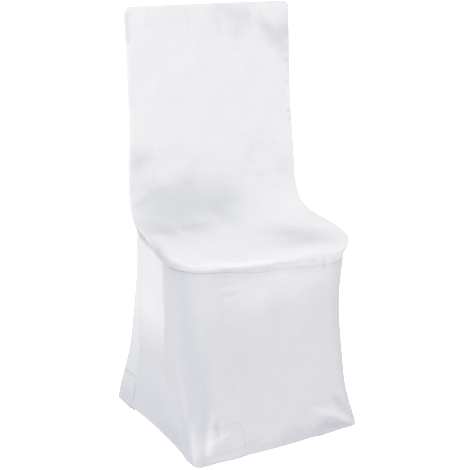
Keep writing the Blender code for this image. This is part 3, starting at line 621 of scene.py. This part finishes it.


# Painted light and shade on the skirt: grey patches low on the left side and along the front hem, and
# painted highlights on the front-left foot and in a band across the top of the front
SKIRT_LIGHT_AND_SHADE_PATCHES = [
    ((-0.233, 0.020, 0.050), (0.04, 0.10, 0.045), 0.15),
    ((-0.228, -0.120, 0.030), (0.04, 0.07, 0.035), 0.20),
    ((-0.221, -0.174, 0.050), (0.014, 0.012, 0.022), 0.26),
    ((-0.192, -0.209, 0.040), (0.030, 0.05, 0.034), -0.40),
    ((0.020, -0.168, 0.405), (0.150, 0.05, 0.050), -0.52),
    ((-0.060, -0.168, 0.330), (0.080, 0.05, 0.060), -0.10),
    ((0.060, -0.208, 0.010), (0.160, 0.05, 0.026), 0.38),
    ((0.150, -0.205, 0.022), (0.060, 0.04, 0.014), 0.20),
]
# Painted shade along the front-left corner, in the folds and puckers, and painted highlights on the ridges
# beside them (negative strengths)
SKIRT_FOLD_LIGHT_AND_SHADE = [
    ([(-0.215, -0.124, 0.441), (-0.210, -0.142, 0.345), (-0.207, -0.164, 0.232), (-0.213, -0.184, 0.113),
      (-0.219, -0.2055, 0.022)], 0.022, 0.26, 0.8, 0.4),
    ([(-0.2185, -0.181, 0.112), (-0.2192, -0.190, 0.068), (-0.2195, -0.201, 0.022)], 0.007, -0.34, 0.2, 1),
    ([(-0.186, -0.2085, 0.030), (-0.180, -0.203, 0.066), (-0.172, -0.196, 0.100), (-0.163, -0.191, 0.130)],
     0.009, -0.30, 1, 0.2),
    ([(-0.130, -0.1665, 0.414), (-0.082, -0.168, 0.411)], 0.004, -0.26, 0.5, 0.4),
    ([(-0.134, -0.1665, 0.400), (-0.088, -0.168, 0.397)], 0.004, 0.20, 0.5, 0.3),
    ([(-0.128, -0.1665, 0.386), (-0.080, -0.168, 0.383)], 0.004, -0.20, 0.5, 0.3),
    ([(0.106, -0.168, 0.436), (0.112, -0.168, 0.415)], 0.004, 0.26, 1, 0),
    ([(0.134, -0.166, 0.436), (0.140, -0.166, 0.412)], 0.004, 0.30, 1, 0),
    ([(0.164, -0.162, 0.436), (0.170, -0.162, 0.415)], 0.004, 0.28, 1, 0),
    ([(-0.160, -0.1966, 0.092), (-0.158, -0.203, 0.060)], 0.005, 0.36, 1, 0.4),
    ([(-0.179, -0.2065, 0.052), (-0.150, -0.2045, 0.060), (-0.120, -0.201, 0.070)], 0.008, -0.34, 0.8, 0),
    ([(-0.168, -0.2095, 0.020), (-0.115, -0.211, 0.020)], 0.005, 0.30, 0.6, 0),
    ([(0.100, -0.199, 0.072), (0.145, -0.200, 0.050), (0.185, -0.204, 0.028), (0.212, -0.207, 0.014)],
     0.010, -0.45, 0.1, 1),
    ([(0.105, -0.206, 0.028), (0.150, -0.2065, 0.018), (0.206, -0.2076, 0.0065)], 0.006, 0.50, 0.3, 1),
    ([(0.159, -0.194, 0.088), (0.185, -0.200, 0.060), (0.213, -0.2065, 0.022)], 0.009, 0.40, 0.6, 1),
]
shade(skirt, skirt_sheer, SKIRT_LIGHT_AND_SHADE_PATCHES, SKIRT_FOLD_LIGHT_AND_SHADE)
make_up(skirt, "skirt",
        stretch_knit("White stretch jersey, skirt", "#D6D6D8", "#BBBCC2"))


# Front panel: one piece of jersey from the top of the back, down its inside face, over the lap and
# across the seat to its rounded front. Its edge is turned over all the way round and sewn there, so
# the seam lies just out of the seat's face.
LAP = 0.575
EDGE_ROLL = 0.006
SEAT_EDGE_ROLL = 0.004
SEAT_CORNER_RADIUS = 0.086

# station from the lap to the front corners, y, half width left and right, height left, middle, right
SEAT = (
    (0, 0.1457, 0.2262, 0.2262, 0.5750, 0.5750, 0.5750),
    (1, 0.1400, 0.2285, 0.2290, 0.5480, 0.5490, 0.5460),
    (2, 0.1290, 0.2305, 0.2310, 0.5265, 0.5270, 0.5220),
    (3, 0.1130, 0.2320, 0.2325, 0.5115, 0.5080, 0.5060),
    (4, 0.0930, 0.2330, 0.2340, 0.5065, 0.4935, 0.4965),
    (6, 0.0570, 0.2340, 0.2360, 0.5020, 0.4785, 0.4900),
    (8, 0.0220, 0.2350, 0.2375, 0.4910, 0.4755, 0.4870),
    (10, -0.0120, 0.2355, 0.2390, 0.4790, 0.4755, 0.4840),
    (12, -0.0460, 0.2360, 0.2400, 0.4705, 0.4755, 0.4805),
    (14, -0.0800, 0.2360, 0.2400, 0.4665, 0.4755, 0.4750),
)

# share of the front corner's quarter turn, height left, middle and right
SEAT_FRONT = ((0.0, 0.4665, 0.4755, 0.4760), (0.3, 0.4670, 0.4750, 0.4710), (0.6, 0.4680, 0.4720, 0.4640),
              (0.8, 0.4680, 0.4680, 0.4600), (1.0, 0.4670, 0.4600, 0.4570))

# across the seat's front, height of the lip where the light ends
LIP = ((-0.225, 0.4690), (-0.150, 0.4696), (-0.080, 0.4662), (0.000, 0.4608), (0.055, 0.4562),
       (0.112, 0.4500), (0.150, 0.4458), (0.185, 0.4390), (0.225, 0.4360))


def turned_edge(lip, seam, out, seat_share, layers=6):
    """The cloth from the face's lip round to its seam: a roll on the back, a drop on the seat."""
    ease = 0.55 * EDGE_ROLL
    share = np.asarray(seat_share, float)[:, None]
    fall = 0.45 * (lip - seam) * (0, 0, 1) + out * SEAT_EDGE_ROLL
    p0, p1, p2, p3 = (k[:, None] for k in (lip, lip + out * mix(ease, SEAT_EDGE_ROLL, share),
                                           seam + mix(np.array((0, -ease, 0)), fall, share), seam))
    t = np.linspace(0, 1, layers + 1)[None, :, None]
    u = 1 - t
    return p0 * u**3 + p1 * 3 * u * u * t + p2 * 3 * u * t * t + p3 * t**3


def seat_rows(y, half_left, half_right, z_left, z_middle, z_right, turn, run):
    """Rows across the seat, flat in the middle, whose ends rise or fall to heights of their own."""
    half = np.where(run > 0, half_right, half_left)
    edge = np.where(run > 0, z_right, z_left)
    lift = soft_step((abs(run) - 0.55) / 0.45)
    return point(run * half, y - 0.005 * soft_step(turn) * (1 - run * run), mix(z_middle, edge, lift))


run = np.linspace(-1, 1, 125)[None]
face_height, face_turn = rows_down(LAP, 112)
lip = outline(along(SLEEVE, 1, face_height), TOP, EDGE_ROLL, face_height, face_turn,
              along(SLEEVE, 2, face_height))
face = mix(lip[:, None], (lip * (-1, 1, 1))[:, None], (run[..., None] + 1) / 2)
station = np.linspace(0, 14, 74)[1:]
y, left, right, low_left, middle, low_right = (along(SEAT, k, station)[:, None] for k in range(1, 7))
seat = seat_rows(y, left, right, low_left, middle, low_right, 0.0, run)
turn = np.linspace(0, 1, 38)[1:]
quarter = np.radians(90 * turn)[:, None]
drawn = SEAT_CORNER_RADIUS * (1 - np.cos(quarter))
corner_z = (along(SEAT_FRONT, k, turn)[:, None] for k in (1, 2, 3))
front = seat_rows(y[-1] - SEAT_CORNER_RADIUS * np.sin(quarter), left[-1] - drawn, right[-1] - drawn,
                  *corner_z, turn[:, None], run)
panel = np.concatenate([face, seat, front])

# The seam's place beside each row, on the left and on the right
upper = station <= 4
back_seam = sleeve_seam(face_height, face_turn)
beside = sleeve_seam(mix(LAP, SEAM_HEIGHT, station[upper] / 4), np.zeros(upper.sum()))
part = (station[~upper] - 4) / 10
seam_l = np.concatenate([back_seam, beside,
                         skirt_rows("left", part, AT_SEAM), skirt_rows("front_left", turn, AT_SEAM)])
seam_r = np.concatenate([back_seam * (-1, 1, 1), beside * (-1, 1, 1),
                         skirt_rows("right", 1 - part, AT_SEAM),
                         skirt_rows("front_right", 1 - turn, AT_SEAM)])
a = np.radians(face_turn)
out = np.concatenate([point(-np.cos(a), 0, np.sin(a)), point(0 * station - 1, 0, 0),
                      point(-np.cos(quarter[:, 0]), -np.sin(quarter[:, 0]), 0)])
seat_share = np.concatenate([0 * a, np.minimum(station / 4, 1), 0 * turn + 1])
edge_l = turned_edge(panel[:, 0], seam_l, out, seat_share)[:, ::-1]
edge_r = turned_edge(panel[:, -1], seam_r, out * (-1, 1, 1), seat_share)
panel_grid = np.concatenate([edge_l[:, :-1], panel, edge_r[:, 1:]], 1)

top_line = mix(back_seam[0], back_seam[0] * (-1, 1, 1), (run.T + 1) / 2)
top_edge = turned_edge(panel[0], top_line, np.array((0, 0, 1)), np.zeros(run.size))
top_edge = top_edge.transpose(1, 0, 2)[::-1]
front_line = skirt_rows("front", (run[0] + 1) / 2, AT_SEAM)
front_edge = turned_edge(panel[-1], front_line, np.array((0, -1, 0)), np.ones(run.size))
front_edge = front_edge.transpose(1, 0, 2)

front_panel = sew("front_panel_cloth", [
    (panel_grid, flat_place(panel_grid)), (top_edge, flat_place(top_edge, -0.02)),
    (front_edge, flat_place(front_edge, 0.93))])

# height of each tuck, how far it falls as it runs in, how long it is, how much shade is painted along it
TUCKS = ((0.927, 0.004, 0.012, 0.24), (0.897, 0.006, 0.016, 0.30), (0.866, 0.003, 0.019, 0.50),
         (0.845, 0.007, 0.014, 0.38), (0.812, 0.003, 0.022, 0.26), (0.741, 0.009, 0.018, 0.48),
         (0.720, 0.005, 0.014, 0.36))
tucks, tuck_shades = [], []
for height, fall, length, grey in TUCKS:
    half, y_face = along(SLEEVE, 1, height), along(SLEEVE, 2, height) + FORWARD
    line = [(half, y_face + 0.004, height), (half - length, y_face, height - fall)]
    tucks.append((line, 0.0035, -0.0012, 1, 0))
    tuck_shades.append((line, 0.0040, grey, 1, 0))
press(front_panel, tucks + [
    ([(-0.235, 0.035, 0.503), (-0.215, 0.044, 0.498), (-0.128, 0.073, 0.487), (-0.047, 0.0745, 0.488),
      (0.032, 0.067, 0.484)], 0.006, -0.0022, 0.7, 0.2),
    ([(-0.215, 0.030, 0.498), (-0.128, 0.058, 0.483), (-0.047, 0.060, 0.482)], 0.009, 0.0014, 0.5, 0),
    ([(-0.226, 0.132, 0.545), (-0.178, 0.139, 0.575), (-0.098, 0.139, 0.586)], 0.010, 0.0020, 1, 0),
    ([(-0.222, 0.144, 0.690), (-0.200, 0.143, 0.655), (-0.175, 0.141, 0.622)], 0.010, -0.0018, 1, 0),
    ([(0.224, 0.130, 0.545), (0.150, 0.138, 0.590), (0.050, 0.140, 0.600)], 0.012, 0.0012, 1, 0),
    ([(0.228, 0.060, 0.493), (0.150, 0.052, 0.483), (0.090, 0.060, 0.482)], 0.010, -0.0014, 1, 0),
    ([(0.216, -0.063, 0.4785), (0.160, -0.012, 0.477), (0.117, 0.045, 0.478)], 0.012, -0.0010, 1, 0),
    ([(-0.113, -0.171, 0.468), (-0.015, -0.179, 0.458), (0.095, -0.172, 0.441)], 0.004, -0.0014, 0.4, 0.4),
    ([(-0.181, -0.1575, 0.452), (-0.087, -0.169, 0.447), (0.025, -0.176, 0.449)], 0.004, -0.0012, 0.4, 0.2),
    ([(-0.001, -0.128, 0.475), (0.078, -0.153, 0.473), (0.197, -0.1615, 0.462)], 0.010, 0.0012, 0.2, 0.6),
    ([(0.100, -0.174, 0.457), (0.112, -0.170, 0.436)], 0.0035, -0.0014, 0.5, 1),
    ([(0.128, -0.172, 0.456), (0.136, -0.168, 0.436)], 0.0035, -0.0014, 0.5, 1),
    ([(0.158, -0.168, 0.456), (0.166, -0.164, 0.434)], 0.0035, -0.0012, 0.5, 1),
], seed=4.1)


def panel_sheer(p):
    """Painted shade: the seat's edge is grey below its lip, where the cloth turns down to the seam, most of
    all on the left.
    """
    x, y, z = p.T
    below = soft_step((along(LIP, 1, x) - z) / 0.004) * soft_step((-0.08 - y) / 0.05)
    face = 0.09 - 0.09 * np.exp(-(((z - 0.63) / 0.10) ** 2))
    return face + below * mix(0.28, 0.04, soft_step((x + 0.04) / 0.12))


# Painted light and shade on the front panel: dark patches at the back's top right, in the lap's hollow and
# on the seat's right, where the cloth also spans empty space; painted shade in the tucks, on the seat's
# left edge and in the puckers under the lip; faint streaks in the knit at the top; and a painted highlight
# along the lip (the negative line)
shade(front_panel, panel_sheer, [
    ((0.207, 0.158, 0.936), (0.028, 0.06, 0.036), 0.42),
    ((0.148, 0.158, 0.951), (0.030, 0.06, 0.015), 0.24),
    ((0.168, 0.158, 0.933), (0.028, 0.06, 0.024), 0.26),
    ((0.196, 0.158, 0.893), (0.020, 0.06, 0.022), 0.16),
    ((0.075, 0.161, 0.962), (0.042, 0.06, 0.038), 0.15),
    ((0.000, 0.161, 0.962), (0.034, 0.06, 0.036), 0.09),
    ((-0.090, 0.161, 0.975), (0.050, 0.06, 0.030), 0.06),
    ((0.046, 0.161, 0.995), (0.034, 0.06, 0.018), 0.20),
    ((0.085, 0.161, 0.985), (0.016, 0.06, 0.030), 0.12),
    ((-0.205, 0.143, 0.645), (0.040, 0.03, 0.030), 0.36),
    ((-0.120, 0.143, 0.668), (0.040, 0.03, 0.020), 0.12),
    ((-0.040, 0.143, 0.640), (0.050, 0.03, 0.018), 0.08),
    ((0.080, 0.144, 0.690), (0.060, 0.03, 0.018), 0.08),
    ((0.200, 0.143, 0.600), (0.030, 0.03, 0.030), 0.12),
    ((0.130, 0.144, 0.645), (0.070, 0.03, 0.030), 0.09),
    ((-0.150, 0.137, 0.565), (0.100, 0.04, 0.036), 0.30),
    ((-0.045, 0.137, 0.568), (0.060, 0.04, 0.036), 0.14),
    ((-0.115, 0.110, 0.522), (0.140, 0.05, 0.036), 0.44),
    ((0.020, 0.110, 0.520), (0.070, 0.05, 0.040), 0.28),
    ((-0.130, 0.068, 0.490), (0.100, 0.036, 0.024), 0.34),
    ((0.140, -0.060, 0.476), (0.056, 0.050, 0.030), 0.28),
    ((0.108, -0.030, 0.476), (0.050, 0.034, 0.030), 0.18),
    ((0.090, -0.105, 0.476), (0.056, 0.038, 0.030), 0.30),
    ((0.150, -0.125, 0.475), (0.050, 0.030, 0.030), 0.22),
], tuck_shades + [
    ([(x, 0.161, 1.005), (x + 0.003, 0.159, 0.985 - 0.5 * low)], 0.006, 0.08, 0.7, 0.1)
    for x, low in ((-0.165, 0.06), (-0.06, 0.09), (0.020, 0.12), (0.068, 0.16),
                   (0.102, 0.10), (0.138, 0.14))] + [
    ([(-0.214, 0.162, 0.995), (-0.214, 0.158, 0.935)], 0.005, 0.30, 1, 1),
    ([(-0.235, 0.035, 0.503), (-0.215, 0.048, 0.500), (-0.128, 0.077, 0.490), (-0.047, 0.0785, 0.490),
      (0.032, 0.071, 0.486)], 0.006, 0.12, 0.8, 0.2),
    ([(-0.222, 0.115, 0.475), (-0.232, 0.000, 0.470), (-0.234, -0.090, 0.462), (-0.212, -0.138, 0.459)],
     0.018, 0.90, 1, 0.2),
    ([(-0.219, -0.048, 0.474), (-0.1985, -0.116, 0.471), (-0.190, -0.1405, 0.470), (-0.089, -0.173, 0.467),
      (-0.014, -0.177, 0.463)], 0.005, -0.5, 0.5, 0.5),
    ([(0.098, -0.175, 0.458), (0.108, -0.171, 0.440)], 0.0035, 0.28, 0.4, 1),
    ([(0.128, -0.173, 0.456), (0.136, -0.169, 0.438)], 0.0035, 0.32, 0.4, 1),
    ([(0.158, -0.169, 0.456), (0.166, -0.165, 0.436)], 0.0035, 0.30, 0.4, 1),
])
make_up(front_panel, "front_panel",
        stretch_knit("White stretch jersey, front panel", "#DDDDDF", "#B4B6BC"))


# Foot pockets: one strip of jersey at each foot, laid over the cover's corner, under the foot and up
# behind it as a strap, so that the hem can't ride up. Its top edge and the strap are turned once
# and stitched.

# EAR is how far the top edge's ends are rounded down, STRAP_INSET how far behind the strip's ends
# the strap stands.
POCKET_HEIGHT = 0.088
POCKET_CLOTH = 0.0010
WALL_GAP = 0.0004
EAR = 0.010
SOLE_HEIGHT = 0.0006
STRAP_HEIGHT = 0.042
STRAP_INSET = 0.0052


def pocket_wall(corner, share):
    """The corner of skirt or outside back that a pocket lies over, with the pocket's own sweep."""
    arc, side = np.linspace(0, 1, 9)[1:-1], np.linspace(0.8, 1, 14)
    front, rear = np.linspace(0, 5 / 18, 34), np.linspace(0, 3 / 18, 16)
    flank = seam_run(share) * np.linspace(0, 1, 22)
    parts = {
        "front_left": (("left", side), ("front_left", arc), ("front", front)),
        "front_right": (("front", 1 - front[::-1]), ("front_right", arc), ("right", 1 - side[::-1])),
        "rear_left": (("rear", 1 - rear[::-1]), ("rear_left", arc), ("left", flank)),
        "rear_right": (("right", 1 - flank[:, ::-1]), ("rear_right", arc), ("rear", rear)),
    }[corner]
    if corner.startswith("front"):
        return np.concatenate([skirt_rows(name, t, share) for name, t in parts], 1)
    return np.concatenate([hang(name, run, SEAM_HEIGHT, share) for name, run in parts], 1)


for corner in ("front_left", "front_right", "rear_right", "rear_left"):
    fall = np.linspace(0, 1, 26)[:, None]
    top_share = (POCKET_HEIGHT - HEM_HEIGHT) / (SEAM_HEIGHT - HEM_HEIGHT)
    wall = pocket_wall(corner, top_share * (1 - fall))
    outwards = np.cross(np.gradient(wall, axis=0), np.gradient(wall, axis=1))
    outwards /= np.linalg.norm(outwards, axis=2)[..., None]
    wall += outwards * (WALL_GAP + POCKET_CLOTH)
    across = np.linspace(0, 1, wall.shape[1])
    from_ends = np.clip(np.minimum(across, 1 - across) * 9, 0, 1)
    wall[:, :, 2] -= EAR * (1 - np.sqrt(1 - (1 - from_ends) ** 2)) * (1 - fall) ** 2

    foot = wall[-1].copy()
    foot[:, 2] = mix(foot[:, 2], SOLE_HEIGHT, soft_step(from_ends))
    level = np.concatenate([[SOLE_HEIGHT], np.linspace(0.004, STRAP_HEIGHT, 11)])
    ends = []
    for side in (0, -1):
        inward = outwards[-1, side] * (1, 1, 0) / np.linalg.norm(outwards[-1, side, :2]) * STRAP_INSET
        low, high = wall[-1, side], wall[0, side]
        part = ((level - low[2]) / (high[2] - low[2]))[:, None]
        ends.append((mix(low, high, part) - inward) * (1, 1, 0) + level[:, None] * (0, 0, 1))
    strap = mix(ends[0][:, None], ends[1][:, None], across[:, None])
    sole = mix(foot, strap[0], np.linspace(0, 1, 14)[1:, None, None])
    grid = np.concatenate([wall, sole, strap[1:]])
    name = "foot_pocket_" + corner
    pocket = sew(name + "_cloth", [(grid, flat_place(grid))])
    # Each pocket takes the creases and the painted light and shade of the cloth under it
    if corner.startswith("front"):
        stitching, edge, under = 0.02, 0.02, "skirt_cloth"
        press(pocket, SKIRT_FOLDS, seed=0.7, laid_over=True)
        shade(pocket, skirt_sheer, SKIRT_LIGHT_AND_SHADE_PATCHES, SKIRT_FOLD_LIGHT_AND_SHADE)
    else:
        stitching, edge, under = 0.06, 0.22, "outside_back_cloth"
        press(pocket, BACK_FOLDS, seed=2.3, laid_over=True)
        shade(pocket, back_sheer, BACK_SHADES)
    knit = stretch_knit("White stretch jersey, " + name.replace("_", " "),
                        "#D6D6D8", "#BBBCC2", stitching, edge)
    make_up(pocket, name, knit, POCKET_CLOTH)


# Studio: a plain white floor that glows a little to the camera, as lit paper does, soft light from
# the left, the front and above, and a camera a little left, at eye height.
bpy.ops.mesh.primitive_plane_add(size=300, location=(0, 0, 0))
floor = bpy.context.object
floor.name = "studio_floor"
paper = bpy.data.materials.new("White studio paper")
paper.use_nodes = True
sheet = paper.node_tree.nodes["Principled BSDF"]
sheet.inputs["Base Color"].default_value = paint("#FAFAFA")
sheet.inputs["Roughness"].default_value = 0.9
sheet.inputs["Emission Color"].default_value = paint("#FFFFFF")
seen = node(paper.node_tree, "LightPath", out="Is Camera Ray")
glow = node(paper.node_tree, "Math", {"operation": "MULTIPLY"}, {0: seen, 1: 0.8})
paper.node_tree.links.new(glow, sheet.inputs["Emission Strength"])
floor.data.materials.append(paper)

world = bpy.data.worlds.new("studio")
bpy.context.scene.world = world
world.use_nodes = True
sky = world.node_tree.nodes["Background"]
sky.inputs["Color"].default_value = paint("#FFFFFF")
sky.inputs["Strength"].default_value = 0.85


def soft_light(kind, name, place, strength, softness):
    """A light that looks at the seat: a near softbox, or a far one whose light is even over the floor."""
    data = bpy.data.lights.new(name, kind)
    data.energy = strength
    if kind == "AREA":
        data.shape, data.size = "SQUARE", softness
    else:
        data.angle = softness
    light = bpy.data.objects.new(name, data)
    bpy.context.scene.collection.objects.link(light)
    light.location = place
    to_seat = Vector((0, 0, 0.5)) - Vector(place)
    light.rotation_euler = to_seat.to_track_quat("-Z", "Y").to_euler()


soft_light("SUN", "side light", (-2.8, -1.6, 2.6), 0.85, 1.2)
soft_light("SUN", "front light", (0.3, -2.4, 2.6), 0.25, 1.2)
soft_light("SUN", "top light", (0.2, 0.6, 4.0), 0.35, 1.2)
soft_light("AREA", "key softbox", (-1.9, -1.7, 2.2), 8, 1.4)

camera = bpy.data.objects.new("camera", bpy.data.cameras.new("camera"))
bpy.context.scene.collection.objects.link(camera)
azimuth, elevation, distance = math.radians(-26.9202), math.radians(18.077), 2.3358
half_view, sensor_width = math.radians(13.7099), 36
backwards = Vector((math.sin(azimuth) * math.cos(elevation), -math.cos(azimuth) * math.cos(elevation),
                    math.sin(elevation)))
camera.location = Vector((0, -0.0071, 0.48)) + backwards * distance
camera.rotation_euler = (-backwards).to_track_quat("-Z", "Y").to_euler()
camera.data.sensor_width = sensor_width
camera.data.lens = sensor_width / 2 / math.tan(half_view)
camera.data.shift_x = -0.01471
camera.data.shift_y = -0.003368
bpy.context.scene.camera = camera
bpy.context.scene.view_settings.view_transform = "Standard"
